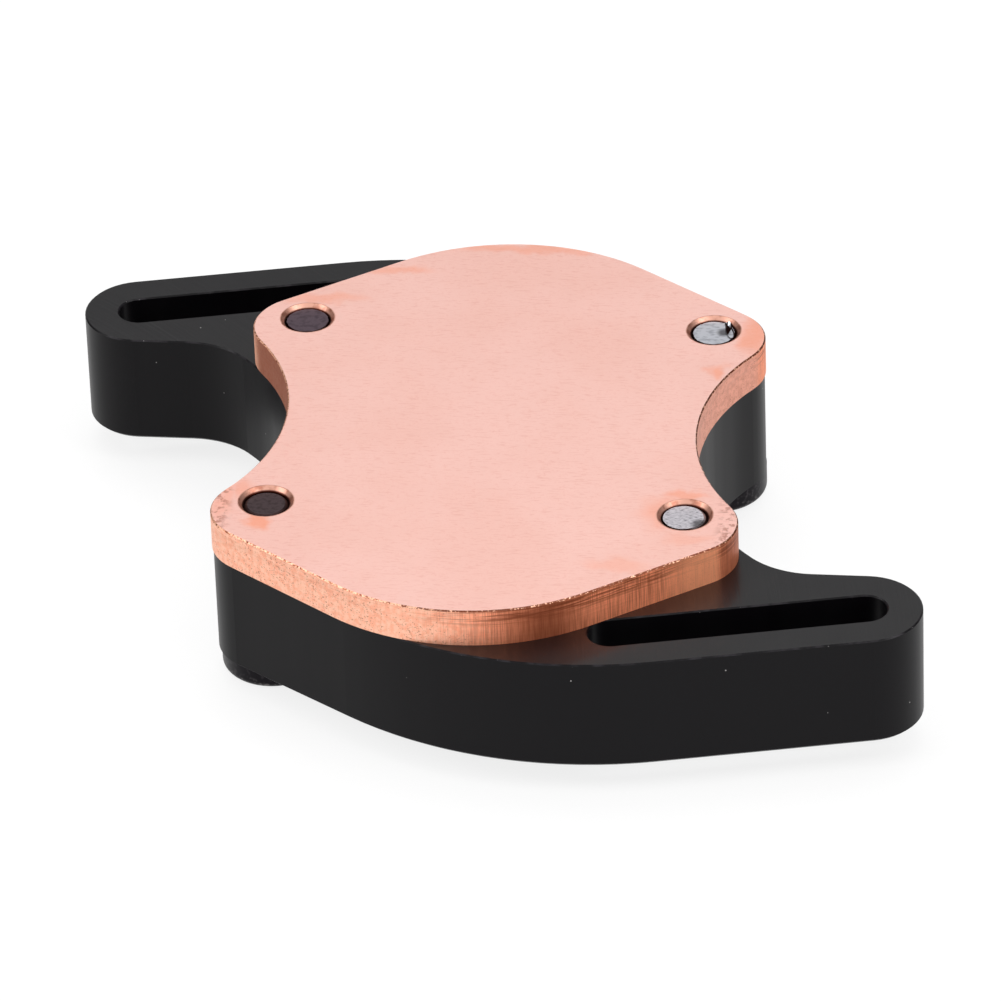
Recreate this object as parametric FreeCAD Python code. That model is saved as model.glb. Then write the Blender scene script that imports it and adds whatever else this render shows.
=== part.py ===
import FreeCAD, Part
import math
import os

# Liquid cooling cold plate for a small chip: a milled copper base bolted from below to an
# acetal body that holds the coolant ports. It lies with its contact face up, on its four
# screw heads. All sizes are in millimetres. +X runs along the pair of mounting ears, +Z is
# up, out of the copper contact face, and the origin is on the floor under the plate's middle.

# ---- Screws: M4 pan heads -------------------------------------------------------------
SCREW_SPACING_X = 31.0
SCREW_SPACING_Y = 25.0
SCREW_SHIFT_Y = 1.0          # the bolt pattern sits off the plate's middle, towards +Y
SCREW_MAJOR_D = 4.0
SCREW_THREAD_DEPTH = 0.35    # the threaded end is drawn plain, at its root
SCREW_TIP_BEVEL = 0.15
SCREW_TIP_RECESS = 0.25      # the tips end this far below the contact face
HEAD_D = 7.7
HEAD_HEIGHT = 2.3
HEAD_ROUND = 0.6
DRIVE_SPAN = 4.3             # cross recess, across its arms at the mouth
DRIVE_ARM = 0.95
DRIVE_DEPTH = 1.5
DRIVE_TAPER = 0.4            # size of the recess's floor against its mouth

# ---- Copper base ----------------------------------------------------------------------
COPPER_THICKNESS = 3.0
CORNER_R = 4.1               # rounded corner round each screw
CORNER_INSET_X = 0.1         # the corner's centre lies this far inboard of the screw
WAIST_DEPTH = 4.05           # depth of each side notch
END_REACH = 12.4             # the round ends run this far past the corner centres
END_R = 16.1
COPPER_EDGE_BREAK = 0.1
TAPPED_CLEARANCE = 0.05      # on radius, round the screw's plain threaded end
COUNTERSINK_MARGIN = 0.05    # on radius, past the thread's major diameter
CHANNEL_WIDTH = 1.0
FIN_THICKNESS = 0.8
CHANNEL_DEPTH = 1.8
CHANNEL_MARGIN = 0.2         # the channel field stays this far inside the coolant chamber

# ---- Acetal body ----------------------------------------------------------------------
BODY_THICKNESS = 9.0
COPPER_OVERHANG = 0.1        # the copper stands proud of the body at corners and notches
SHOULDER_REACH = 2.05        # the body's long shoulders run this far past the copper's ends
SHOULDER_R = 29.4
SHOULDER_X = 7.8
EAR_REACH_X = 29.2           # outer end of each mounting slot, from the plate's middle
EAR_DROP_Y = 5.9             # and from the line of the corner centres
EAR_WALL = 2.6               # wall round the mounting slot
EAR_FILLET_R = 6.4
SLOT_WIDTH = 3.3
SLOT_TRAVEL = 18.7           # between the slot's two end centres
SLOT_EDGE_BREAK = 0.1
BODY_TOP_BREAK = 0.1
BODY_UNDER_BREAK = 0.25
SCREW_HOLE_CLEARANCE = 0.15  # on radius

# ---- Coolant chamber, ports and seal --------------------------------------------------
SEAL_CORD_D = 1.8
SEAL_SQUEEZE = 0.4
SEAL_EDGE_WALL = 2.8         # between the seal's groove and the body's waist and ends
SEAL_CHAMBER_WALL = 1.0      # between the groove and the chamber
GROOVE_CLEARANCE = 0.1       # each side of the squeezed cord
CHAMBER_DEPTH = 3.0
PLENUM_CORNER_R = 1.5
PORT_THREAD_D = 13.16        # G1/4
PORT_MARGIN = 0.4            # between a port and its plenum's end and land
PORT_MOUTH_BREAK = 0.6

# ---- Levels ---------------------------------------------------------------------------
BODY_UNDERSIDE = HEAD_HEIGHT
SEAT = BODY_UNDERSIDE + BODY_THICKNESS
CONTACT_FACE = SEAT + COPPER_THICKNESS
OVERCUT = 1.0                # how far a cutter runs past the face it opens

# ---- Plan of the two outlines ---------------------------------------------------------
corner_x = SCREW_SPACING_X / 2 - CORNER_INSET_X
corner_y = SCREW_SPACING_Y / 2
half_waist = corner_x + CORNER_R - WAIST_DEPTH
notch_x = (corner_x**2 + corner_y**2 - (half_waist - CORNER_R)**2) / (2 * WAIST_DEPTH)
notch_r = notch_x - half_waist
half_length = corner_y + END_REACH

ear_r = SLOT_WIDTH / 2 + EAR_WALL
ear_y = -(corner_y + EAR_DROP_Y)
shoulder_y = SHOULDER_R - half_length - SHOULDER_REACH
body_notch_r = notch_r + COPPER_OVERHANG
body_corner_r = CORNER_R - COPPER_OVERHANG
ear_fillet_y = ear_y + ear_r + EAR_FILLET_R
ear_fillet_x = notch_x - math.sqrt((body_notch_r - EAR_FILLET_R)**2 - ear_fillet_y**2)

# ---- Seal section: the round cord squeezed flat between groove floor and copper ---------
seal_height = SEAL_CORD_D - SEAL_SQUEEZE
seal_flat = math.pi * (SEAL_CORD_D**2 - seal_height**2) / (4 * seal_height)
seal_width = seal_height + seal_flat
groove_outer = half_waist - COPPER_OVERHANG - SEAL_EDGE_WALL
groove_inner = groove_outer - seal_width - 2 * GROOVE_CLEARANCE

# ---- Chamber: a round-ended racetrack, split into two plenums by a land ------------------
chamber_r = groove_inner - SEAL_CHAMBER_WALL
chamber_straight = 2 * (half_length - COPPER_OVERHANG - SEAL_EDGE_WALL - groove_outer)
port_y = chamber_straight / 2 + chamber_r - PORT_MARGIN - PORT_THREAD_D / 2
land_edge = port_y - PORT_THREAD_D / 2 - PORT_MARGIN

# ---- Screw fits ------------------------------------------------------------------------
screw_core_r = SCREW_MAJOR_D / 2 - SCREW_THREAD_DEPTH
tapped_r = screw_core_r + TAPPED_CLEARANCE
countersink_depth = SCREW_MAJOR_D / 2 + COUNTERSINK_MARGIN - tapped_r


def half_turn(pulleys):
    """The same circles turned half a turn about the plate's middle."""
    return [(-x, -y, r) for x, y, r in pulleys]


def heading(start, end):
    """Direction of the belt's straight run from one circle to the next."""
    run_x = end[0] - start[0]
    run_y = end[1] - start[1]
    lean = (start[2] - end[2]) / math.hypot(run_x, run_y)
    return math.atan2(run_y, run_x) + math.asin(round(lean, 12))


def rim_point(pulley, direction):
    """The point where a belt going in a direction touches a circle."""
    x, y, r = pulley
    return FreeCAD.Vector(x + r * math.sin(direction), y - r * math.cos(direction), 0)


def belt(pulleys):
    """Closed outline that runs counter-clockwise round circles, like a belt round pulleys.

    Each circle is (x, y, radius). A positive radius is a round corner, and a negative one
    is a hollow that the belt passes on its other side. Every joint is tangent.
    """
    headings = [heading(a, b) for a, b in zip(pulleys, pulleys[1:] + pulleys[:1])]
    edges = []
    for i, pulley in enumerate(pulleys):
        arrive = headings[i - 1]
        turn = (headings[i] - arrive) % (2 * math.pi)
        if pulley[2] < 0:
            turn -= 2 * math.pi
        stops = [rim_point(pulley, arrive + turn * share) for share in (0, 0.5, 1)]
        edges.append(Part.Arc(*stops).toShape())
        run_end = rim_point(pulleys[(i + 1) % len(pulleys)], headings[i])
        if stops[2].distanceToPoint(run_end) > 1e-6:
            edges.append(Part.makeLine(stops[2], run_end))
    return Part.Wire(edges)


def racetrack(half_width, straight):
    """Outline with two round ends, lengthwise along Y."""
    return belt([(0, -straight / 2, half_width), (0, straight / 2, half_width)])


def prism(wire, bottom, top):
    """Solid of an outline between two levels."""
    solid = Part.Face(wire).extrude(FreeCAD.Vector(0, 0, top - bottom))
    return solid.translated(FreeCAD.Vector(0, 0, bottom))


def rod(x, y, radius, bottom, top):
    """Upright cylinder between two levels."""
    return Part.makeCylinder(radius, top - bottom, FreeCAD.Vector(x, y, bottom))


def bevel(x, y, radius, face, size):
    """Cone that breaks a round hole's edge where it opens at a face.

    A positive size opens upwards and a negative one downwards.
    """
    depth = abs(size)
    if size > 0:
        base = FreeCAD.Vector(x, y, face - depth)
        return Part.makeCone(radius, radius + depth, depth, base)
    base = FreeCAD.Vector(x, y, face)
    return Part.makeCone(radius + depth, radius, depth, base)


def break_rim(solid, level, size):
    """Chamfer every edge that lies in a level face of a plain prism."""
    rim = [edge for edge in solid.Edges
           if abs(edge.BoundBox.ZMin - level) < 1e-6 and abs(edge.BoundBox.ZMax - level) < 1e-6]
    return solid.makeChamfer(size, rim)


def screw_places():
    """Name and axis of each screw."""
    for row, side_y in (("near", -1), ("far", 1)):
        for column, side_x in (("left", -1), ("right", 1)):
            x = side_x * SCREW_SPACING_X / 2
            y = side_y * SCREW_SPACING_Y / 2 + SCREW_SHIFT_Y
            yield f"screw_{row}_{column}", x, y


def channel_field():
    """Cutter for the parallel coolant channels, each as long as the round-ended field allows."""
    field_r = chamber_r - CHANNEL_MARGIN
    pitch = CHANNEL_WIDTH + FIN_THICKNESS
    count = int((2 * field_r + FIN_THICKNESS) / pitch)
    cutters = []
    for i in range(count):
        x = (i - (count - 1) / 2) * pitch
        outer_edge = abs(x) + CHANNEL_WIDTH / 2
        reach = chamber_straight / 2 + math.sqrt(field_r**2 - outer_edge**2)
        wire = racetrack(CHANNEL_WIDTH / 2, 2 * reach - CHANNEL_WIDTH)
        wire.translate(FreeCAD.Vector(x, 0, 0))
        cutters.append(prism(wire, SEAT - OVERCUT, SEAT + CHANNEL_DEPTH))
    return cutters


def make_copper_base():
    """Copper plate with tapped screw holes and, on its inner face, the coolant channels."""
    quarter_turns = [
        (corner_x, -corner_y, CORNER_R),
        (notch_x, 0, -notch_r),
        (corner_x, corner_y, CORNER_R),
        (0, half_length - END_R, END_R),
    ]
    plate = prism(belt(quarter_turns + half_turn(quarter_turns)), SEAT, CONTACT_FACE)
    plate = break_rim(plate, CONTACT_FACE, COPPER_EDGE_BREAK)
    cutters = channel_field()
    for _, x, y in screw_places():
        cutters.append(rod(x, y, tapped_r, SEAT - OVERCUT, CONTACT_FACE + OVERCUT))
        cutters.append(bevel(x, y, tapped_r, CONTACT_FACE, countersink_depth))
    return plate.cut(cutters)


def body_blank():
    """Acetal block in plan: two long shoulders, two ears and two notches."""
    half = [
        (SHOULDER_X, shoulder_y, SHOULDER_R),
        (EAR_REACH_X, ear_y, ear_r),
        (ear_fillet_x, ear_fillet_y, -EAR_FILLET_R),
        (notch_x, 0, -body_notch_r),
        (corner_x, corner_y, body_corner_r),
    ]
    blank = prism(belt(half + half_turn(half)), BODY_UNDERSIDE, SEAT)
    blank = break_rim(blank, SEAT, BODY_TOP_BREAK)
    return break_rim(blank, BODY_UNDERSIDE, BODY_UNDER_BREAK)


def slot_outline(grow):
    """Mounting slot along the ear's outer edge, its outer end concentric with the ear."""
    ear = (EAR_REACH_X, ear_y, ear_r)
    along = heading((SHOULDER_X, shoulder_y, SHOULDER_R), ear)
    radius = SLOT_WIDTH / 2 + grow
    inner_x = EAR_REACH_X - SLOT_TRAVEL * math.cos(along)
    inner_y = ear_y - SLOT_TRAVEL * math.sin(along)
    return [(inner_x, inner_y, radius), (EAR_REACH_X, ear_y, radius)]


def slot_cutter():
    """Straight slot through the ear, with both mouths broken."""
    straight = belt(slot_outline(0))
    through = prism(straight, BODY_UNDERSIDE - OVERCUT, SEAT + OVERCUT)
    flares = []
    for face, inward in ((SEAT, -SLOT_EDGE_BREAK), (BODY_UNDERSIDE, SLOT_EDGE_BREAK)):
        mouth = belt(slot_outline(SLOT_EDGE_BREAK)).translated(FreeCAD.Vector(0, 0, face))
        throat = straight.translated(FreeCAD.Vector(0, 0, face + inward))
        flares.append(Part.makeLoft([mouth, throat], True, True))
    return through.fuse(flares)


def plenum_cutter():
    """Round-ended pocket under one port, closed towards the middle by the land."""
    corner_inset = chamber_r - PLENUM_CORNER_R
    corner_line = land_edge + PLENUM_CORNER_R
    pulleys = [
        (corner_inset, corner_line, PLENUM_CORNER_R),
        (0, chamber_straight / 2, chamber_r),
        (-corner_inset, corner_line, PLENUM_CORNER_R),
    ]
    return prism(belt(pulleys), SEAT - CHAMBER_DEPTH, SEAT + OVERCUT)


def port_cutter():
    """Threaded port at its major diameter, with a broken mouth on the underside."""
    radius = PORT_THREAD_D / 2
    bore = rod(0, port_y, radius, BODY_UNDERSIDE - OVERCUT, SEAT - CHAMBER_DEPTH)
    return bore.fuse(bevel(0, port_y, radius, BODY_UNDERSIDE, -PORT_MOUTH_BREAK))


def groove_cutter():
    """Groove for the seal, round the chamber in the seat face."""
    floor = SEAT - seal_height
    outer = prism(racetrack(groove_outer, chamber_straight), floor, SEAT + OVERCUT)
    inner = prism(racetrack(groove_inner, chamber_straight), floor - OVERCUT, SEAT + 2 * OVERCUT)
    return outer.cut(inner)


def make_body():
    """Acetal body with its slots, plenums, ports, seal groove and screw holes."""
    flip = FreeCAD.Vector(0, 0, 1)
    middle = FreeCAD.Vector(0, 0, 0)
    cutters = [groove_cutter()]
    for make_cutter in (slot_cutter, plenum_cutter, port_cutter):
        cutter = make_cutter()
        cutters.append(cutter)
        cutters.append(cutter.rotated(middle, flip, 180))
    hole_r = SCREW_MAJOR_D / 2 + SCREW_HOLE_CLEARANCE
    for _, x, y in screw_places():
        cutters.append(rod(x, y, hole_r, BODY_UNDERSIDE - OVERCUT, SEAT + OVERCUT))
    return body_blank().cut(cutters)


def make_seal_ring():
    """Cord seal as it lies when squeezed: flat above and below, and round at its sides."""
    middle_r = groove_inner + GROOVE_CLEARANCE + seal_width / 2
    spine = racetrack(middle_r, chamber_straight)
    level = SEAT - seal_height / 2
    spine.translate(FreeCAD.Vector(0, 0, level))
    side_r = seal_height / 2
    section = belt([(-seal_flat / 2, 0, side_r), (seal_flat / 2, 0, side_r)])
    section.rotate(FreeCAD.Vector(0, 0, 0), FreeCAD.Vector(1, 0, 0), 90)
    start = spine.Vertexes[0].Point
    outward = start - FreeCAD.Vector(0, math.copysign(chamber_straight / 2, start.y), level)
    section.rotate(FreeCAD.Vector(0, 0, 0), FreeCAD.Vector(0, 0, 1),
                   math.degrees(math.atan2(outward.y, outward.x)))
    section.translate(start)
    return spine.makePipeShell([section], True, False)


def cross_outline(scale, level):
    """Outline of the cross recess at one level."""
    tip = scale * DRIVE_SPAN / 2
    arm = scale * DRIVE_ARM / 2
    corner = [(tip, -arm), (tip, arm), (arm, arm)]
    points = []
    for quarter in range(4):
        for x, y in corner:
            for _ in range(quarter):
                x, y = -y, x
            points.append(FreeCAD.Vector(x, y, level))
    return Part.makePolygon(points + points[:1])


def make_screw(x, y):
    """Pan head screw standing on its head, with its bevelled tip just below the contact face."""
    tip = CONTACT_FACE - SCREW_TIP_RECESS
    bevel_level = tip - SCREW_TIP_BEVEL
    head = rod(0, 0, HEAD_D / 2, 0, HEAD_HEIGHT)
    rim = [edge for edge in head.Edges
           if edge.BoundBox.ZMax < 1e-6 and edge.BoundBox.XLength > HEAD_D / 2]
    head = head.makeFillet(HEAD_ROUND, rim)
    shank = rod(0, 0, SCREW_MAJOR_D / 2, HEAD_HEIGHT, SEAT)
    end = rod(0, 0, screw_core_r, SEAT, bevel_level)
    point = Part.makeCone(screw_core_r, screw_core_r - SCREW_TIP_BEVEL, SCREW_TIP_BEVEL,
                          FreeCAD.Vector(0, 0, bevel_level))
    recess = Part.makeLoft([cross_outline(1, 0), cross_outline(DRIVE_TAPER, DRIVE_DEPTH)],
                           True, True)
    screw = head.fuse([shank, end, point]).removeSplitter().cut(recess)
    return screw.translated(FreeCAD.Vector(x, y, 0))


def main():
    """Build every piece and write one STEP file for each."""
    pieces = {
        "copper_base": make_copper_base(),
        "body": make_body(),
        "seal_ring": make_seal_ring(),
    }
    for name, x, y in screw_places():
        pieces[name] = make_screw(x, y)
    os.makedirs("parts", exist_ok=True)
    for name, shape in pieces.items():
        solids = shape.Solids
        if len(solids) != 1 or not solids[0].isValid():
            raise ValueError(f"{name} is not one valid solid")
        solids[0].exportStep(f"parts/{name}.step")
        print(f"{name}: {solids[0].Volume:.1f} mm3")


main()
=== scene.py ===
import logging
import math
from contextlib import contextmanager
from dataclasses import dataclass
from enum import Enum
from functools import partial, reduce
from typing import Callable, Iterator

import bmesh
import bpy
from mathutils import Matrix, Vector


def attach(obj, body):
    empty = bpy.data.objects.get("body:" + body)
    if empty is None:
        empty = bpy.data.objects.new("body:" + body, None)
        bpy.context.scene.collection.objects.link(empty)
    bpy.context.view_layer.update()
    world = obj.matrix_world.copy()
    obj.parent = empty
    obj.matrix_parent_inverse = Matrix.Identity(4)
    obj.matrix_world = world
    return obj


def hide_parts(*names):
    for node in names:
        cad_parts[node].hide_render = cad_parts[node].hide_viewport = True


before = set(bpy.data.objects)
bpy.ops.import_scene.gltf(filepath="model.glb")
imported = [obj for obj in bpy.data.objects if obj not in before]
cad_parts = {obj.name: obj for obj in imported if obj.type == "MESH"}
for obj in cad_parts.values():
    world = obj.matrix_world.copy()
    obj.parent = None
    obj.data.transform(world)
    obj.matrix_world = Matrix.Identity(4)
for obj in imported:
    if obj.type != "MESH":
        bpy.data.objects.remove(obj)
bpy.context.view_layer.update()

LOG = logging.getLogger("cold_plate")
MM = 0.001
TINY = 0.001 * MM  # two places this near are the same
SEAM = 0.002 * MM  # points this near are joined
ALONG = 0.9  # a normal's least share along an axis that it follows
ACROSS = 0.1  # and its largest share along one that it is square to

Piece = bpy.types.Object
Material = bpy.types.Material
Socket = bpy.types.NodeSocket
Element = bmesh.types.BMVert | bmesh.types.BMEdge | bmesh.types.BMFace
Shade = tuple[float, float, float, float]
Triple = tuple[float, float, float]
Layer = tuple[Socket, Socket | str]  # a share, and the colour that it shows
Ramp = tuple[float, ...]  # from and to; and what they give, unless 0 and 1
NOISE_MIDDLE = (0.5, 0.5, 0.5)
IN_PLAN = (1.0, 1.0, 0.0)
WHITE = "#FFFFFF"
EASED = {"interpolation_type": "SMOOTHSTEP"}
TIMES = {"operation": "MULTIPLY"}
TIMES_PLUS = {"operation": "MULTIPLY_ADD"}


# ---- Colour and shader nodes ----


def linear(hex_colour: str) -> Shade:
    """Turn an sRGB hex colour into the linear colour that shaders take.

    Args:
        hex_colour: "#RRGGBB".

    Returns:
        Linear red, green and blue, with alpha 1.
    """
    shares = [int(hex_colour[i:i + 2], 16) / 255 for i in (1, 3, 5)]
    red, green, blue = (
        s / 12.92 if s <= 0.04045 else ((s + 0.055) / 1.055) ** 2.4 for s in shares
    )
    return (red, green, blue, 1.0)


def add_node(
    tree: bpy.types.NodeTree,
    kind: str,
    *values: object,
    named: dict[str, object] | None = None,
    **settings: object,
) -> Socket | None:
    """Add one shader node, set it up and wire it.

    Args:
        tree: Node tree that the node goes into.
        kind: Type of the node, without its "ShaderNode" prefix.
        *values: Sockets to link from, or values to set, for its inputs in order. A
            colour is given as sRGB hex.
        named: The same for inputs that are given by name.
        **settings: Properties of the node.

    Returns:
        The node's first output in use. The others are reached through its node.
    """
    made = tree.nodes.new("ShaderNode" + kind)
    for name, value in settings.items():
        setattr(made, name, value)
    pairs = list(zip([socket for socket in made.inputs if socket.enabled], values))
    pairs += [(made.inputs[name], value) for name, value in (named or {}).items()]
    for socket, value in pairs:
        if isinstance(value, Socket):
            tree.links.new(value, socket)
        else:
            socket.default_value = linear(value) if isinstance(value, str) else value
    return next((socket for socket in made.outputs if socket.enabled), None)


class Surface:
    """A material on the bench, with the coordinates that its patterns read.

    Coordinates are the object's own, in millimetres, so every pattern has a real size.
    """

    def __init__(self, name: str) -> None:
        """Start an empty material.

        Args:
            name: Name of the real material and how it was finished.
        """
        self.material = bpy.data.materials.new(name)
        self.material.use_nodes = True
        self.material.node_tree.nodes.clear()
        self.add = partial(add_node, self.material.node_tree)
        seen = self.add("TexCoord").node.outputs
        scale = {"Scale": 1 / MM}
        self.place = self.add("VectorMath", seen["Object"], operation="SCALE", named=scale)
        self.x, self.y, self.z = self.add("SeparateXYZ", self.place).node.outputs
        facing = self.add("SeparateXYZ", seen["Normal"]).node.outputs
        self.sideways, self.upward = facing["X"], facing["Z"]
        self.level = self.add("Math", self.upward, operation="ABSOLUTE")

    def within(self, *bounds: tuple[Socket, Ramp]) -> Socket:
        """Share of the surface inside several soft bounds at once.

        Args:
            *bounds: What is measured, each with the ramp that it climbs.

        Returns:
            The product of the ramps.
        """
        climbed = [self.add("MapRange", place, *ramp, **EASED) for place, ramp in bounds]
        return reduce(partial(self.add, "Math", **TIMES), climbed)

    def layered(self, base: Socket | str, *layers: Layer) -> Socket:
        """Lay colours over one another.

        Args:
            base: Colour underneath.
            *layers: Share and colour of each layer, from below.

        Returns:
            The colour that shows.
        """
        for share, colour in layers:
            base = self.add("Mix", share, base, colour, data_type="RGBA")
        return base

    def finish(self, **inputs: object) -> Material:
        """Close the material with its shader.

        Args:
            **inputs: Shader inputs, with underscores for the spaces in their names.

        Returns:
            The finished material.
        """
        named = {key.replace("_", " "): value for key, value in inputs.items()}
        self.add("OutputMaterial", self.add("BsdfPrincipled", named=named))
        return self.material


@dataclass(frozen=True)
class Pattern:
    """A noise with cells of a real size, and the ramp that turns it into a share.

    Where a comment says coarser, the real pattern is too fine to show at its true size.
    """

    cell_mm: float | Triple
    octaves: float
    ramp: Ramp = (0.0, 1.0)

    def noise(self, surface: Surface, place: Socket | None = None) -> Socket:
        """Lay the bare noise over a material.

        Args:
            surface: Material on the bench.
            place: Coordinates in millimetres, if they aren't the material's own.

        Returns:
            Noise of 0 to 1.
        """
        size = self.cell_mm if isinstance(self.cell_mm, tuple) else (self.cell_mm,) * 3
        place = surface.place if place is None else place
        cells = surface.add("VectorMath", place, size, operation="DIVIDE")
        return surface.add("TexNoise", cells, 1.0, self.octaves)

    def share(self, surface: Surface) -> Socket:
        """Lay the pattern over a material, as a share of it."""
        return surface.add("MapRange", self.noise(surface), *self.ramp, **EASED)


# ---- Bench tools for modelling ----


def let_go() -> None:
    """Deselect everything."""
    bpy.ops.object.select_all(action="DESELECT")


def take(*things: Piece) -> Piece:
    """Select these objects alone, with the first one active.

    Args:
        *things: Objects to select.

    Returns:
        The first one.
    """
    let_go()
    for thing in things:
        thing.select_set(True)
    bpy.context.view_layer.objects.active = things[0]
    return things[0]


@contextmanager
def shaping(piece: Piece, select: str = "FACE") -> Iterator[None]:
    """Hold a piece in edit mode with nothing selected.

    Args:
        piece: Piece to shape.
        select: What is selected by hand: "VERT", "EDGE" or "FACE".

    Yields:
        Nothing.
    """
    take(piece)
    bpy.ops.object.mode_set(mode="EDIT")
    bpy.ops.mesh.select_mode(type=select)
    bpy.ops.mesh.select_all(action="DESELECT")
    yield
    bpy.ops.object.mode_set(mode="OBJECT")


def pick(piece: Piece, what: str, wanted: Callable[[Element], bool]) -> None:
    """Select points, edges or faces of the piece in edit mode, and nothing else.

    Args:
        piece: Piece in edit mode.
        what: "verts", "edges" or "faces".
        wanted: Says whether an element is selected.
    """
    bpy.ops.mesh.select_all(action="DESELECT")
    mesh = bmesh.from_edit_mesh(piece.data)
    for element in getattr(mesh, what):
        if wanted(element):
            element.select_set(True)
    bmesh.update_edit_mesh(piece.data)


def apply_modifier(piece: Piece, kind: str, **settings: object) -> None:
    """Put a modifier on a piece and apply it.

    Args:
        piece: Piece that is changed.
        kind: Modifier type.
        **settings: Properties of the modifier.
    """
    take(piece)
    modifier = piece.modifiers.new(kind.title(), kind)
    for name, value in settings.items():
        setattr(modifier, name, value)
    bpy.ops.object.modifier_apply(modifier=modifier.name)


def settle(piece: Piece, crease_deg: float = 32.0) -> None:
    """Put a piece's place in its mesh, close its seams and smooth it between its creases.

    Args:
        piece: Finished shape.
        crease_deg: Faces that meet at a larger angle keep a sharp edge.
    """
    take(piece)
    bpy.ops.object.transform_apply()
    with shaping(piece, "VERT"):
        bpy.ops.mesh.select_all(action="SELECT")
        bpy.ops.mesh.remove_doubles(threshold=SEAM)
        bpy.ops.mesh.normals_make_consistent(inside=False)
    bpy.ops.object.shade_smooth_by_angle(angle=math.radians(crease_deg))


def copy_of(master: Piece, turn_deg: float, x: float, y: float) -> Piece:
    """Copy a finished shape, with its own mesh, turn it about +Z and stand it in its place.

    Args:
        master: Shape on the part's axis.
        turn_deg: Turn, counter-clockwise from above.
        x: Place of its axis, in millimetres.
        y: Place of its axis, in millimetres.

    Returns:
        The copy.
    """
    copied = master.copy()
    copied.data = master.data.copy()
    bpy.context.scene.collection.objects.link(copied)
    take(copied)
    copied.rotation_euler.z = math.radians(turn_deg)
    copied.location = (x * MM, y * MM, 0.0)
    bpy.ops.object.transform_apply()
    return copied


def dress(piece: Piece, finish: Material) -> None:
    """Give a new piece its material and its body.

    Args:
        piece: Finished piece.
        finish: Its material.
    """
    piece.data.materials.clear()
    piece.data.materials.append(finish)
    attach(piece, "root")
    LOG.info("%s: %d faces, %s", piece.name, len(piece.data.polygons), finish.name)


def dress_node(name: str, finish: Material) -> None:
    """Give a CAD node its material.

    Args:
        name: Name of the node.
        finish: Its material.
    """
    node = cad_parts[name]
    for slot in node.material_slots:
        slot.material = finish
    LOG.info("%s: %d faces, %s", name, len(node.data.polygons), finish.name)


# ---- Finishes ----


@dataclass(frozen=True)
class Stain:
    """A patch of heat or finger tarnish on the copper's face, in millimetres."""

    x: float
    y: float
    reach_x: float
    reach_y: float
    strength: float


@dataclass(frozen=True)
class LappedFace:
    """The copper's contact face.

    Lapping leaves it satin and even, pink with faint clouds and short fine strokes. Heat
    and fingers tarnished it in soft patches, and its near corners are grimy.
    """

    clear_hex: str = "#F3C8BE"
    cloud_hex: str = "#F1C4B9"
    speck_hex: str = "#DFA092"
    stain_hex: str = "#F2A588"
    grime_hex: str = "#A0614D"
    cloud: Pattern = Pattern(9.0, 2.0, (0.35, 0.65))
    stroke: Pattern = Pattern((0.8, 0.12, 1.0), 1.0, (0.56, 0.72, 0.0, 0.36))  # coarser
    grit: Ramp = (0.55, 0.8, 0.0, 0.3)
    sway: Pattern = Pattern(1.818, 3.0)
    sway_mm: Triple = (2.6, 2.6, 0.0)  # the stains' outlines wander this far
    stain_edge: Ramp = (1.3, 0.3)  # in shares of a stain's reach
    spot: Pattern = Pattern(0.4545, 7.0, (0.47, 0.63, 0.0, 0.85))
    side: Ramp = (17.6, 18.8, 0.0, 0.7)  # grime lies this far out along X
    near: Ramp = (-6.0, -10.0)  # and this near along Y
    stains: tuple[Stain, ...] = (
        Stain(14.4, -11.2, 2.6, 2.6, 0.5),
        Stain(15.2, -8.8, 2.2, 0.6, 0.6),
        Stain(16.2, -14.6, 2.0, 0.9, 0.3),
        Stain(18.7, 12.9, 1.2, 3.2, 0.7),
        Stain(16.4, 7.6, 0.9, 1.2, 0.7),
        Stain(-15.8, -14.0, 0.9, 1.3, 0.8),
        Stain(-17.4, -10.0, 0.9, 1.5, 0.5),
        Stain(-14.5, 16.3, 3.4, 0.8, 0.45),
        Stain(-9.5, 20.6, 3.2, 0.7, 0.5),
        Stain(0.0, 24.2, 8.0, 0.7, 0.5),
        Stain(11.2, -18.4, 3.0, 0.9, 0.3),
        Stain(-18.6, -11.4, 0.9, 3.4, 0.4),
    )

    def stain_share(self, surface: Surface) -> Socket:
        """Share of the stains over the face.

        Args:
            surface: Copper on the bench.

        Returns:
            0 on clean metal to the strength of each stain, with uneven edges.
        """
        add = surface.add
        sway = self.sway.noise(surface).node.outputs["Color"]
        centred = add("VectorMath", sway, NOISE_MIDDLE, operation="SUBTRACT")
        swayed = add("VectorMath", centred, self.sway_mm, surface.place, **TIMES_PLUS)
        patches = []
        for stain in self.stains:
            away = add("VectorMath", swayed, (stain.x, stain.y, 0.0), operation="SUBTRACT")
            share = (1 / stain.reach_x, 1 / stain.reach_y, 0.0)
            shares = add("VectorMath", away, share, **TIMES)
            apart = add("VectorMath", shares, operation="LENGTH")
            patch = (*self.stain_edge, 0.0, stain.strength)
            patches.append(add("MapRange", apart, *patch, **EASED))
        return reduce(partial(add, "Math", operation="MAXIMUM"), patches)

    def colour(self, surface: Surface, grain: Socket) -> Socket:
        """Colour of the face.

        Args:
            surface: Copper on the bench.
            grain: Fine grain pattern.

        Returns:
            Pink copper with faint clouds, strokes, grain and stains.
        """
        add = surface.add
        grit = add("MapRange", grain, *self.grit, **EASED)
        outboard = add("Math", surface.x, operation="ABSOLUTE")
        corner = surface.within((outboard, self.side), (surface.y, self.near))
        return surface.layered(
            self.clear_hex,
            (self.cloud.share(surface), self.cloud_hex),
            (self.stroke.share(surface), self.speck_hex),
            (grit, self.speck_hex),
            (self.stain_share(surface), self.stain_hex),
            (add("Math", corner, self.spot.share(surface), **TIMES), self.grime_hex),
        )


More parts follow.
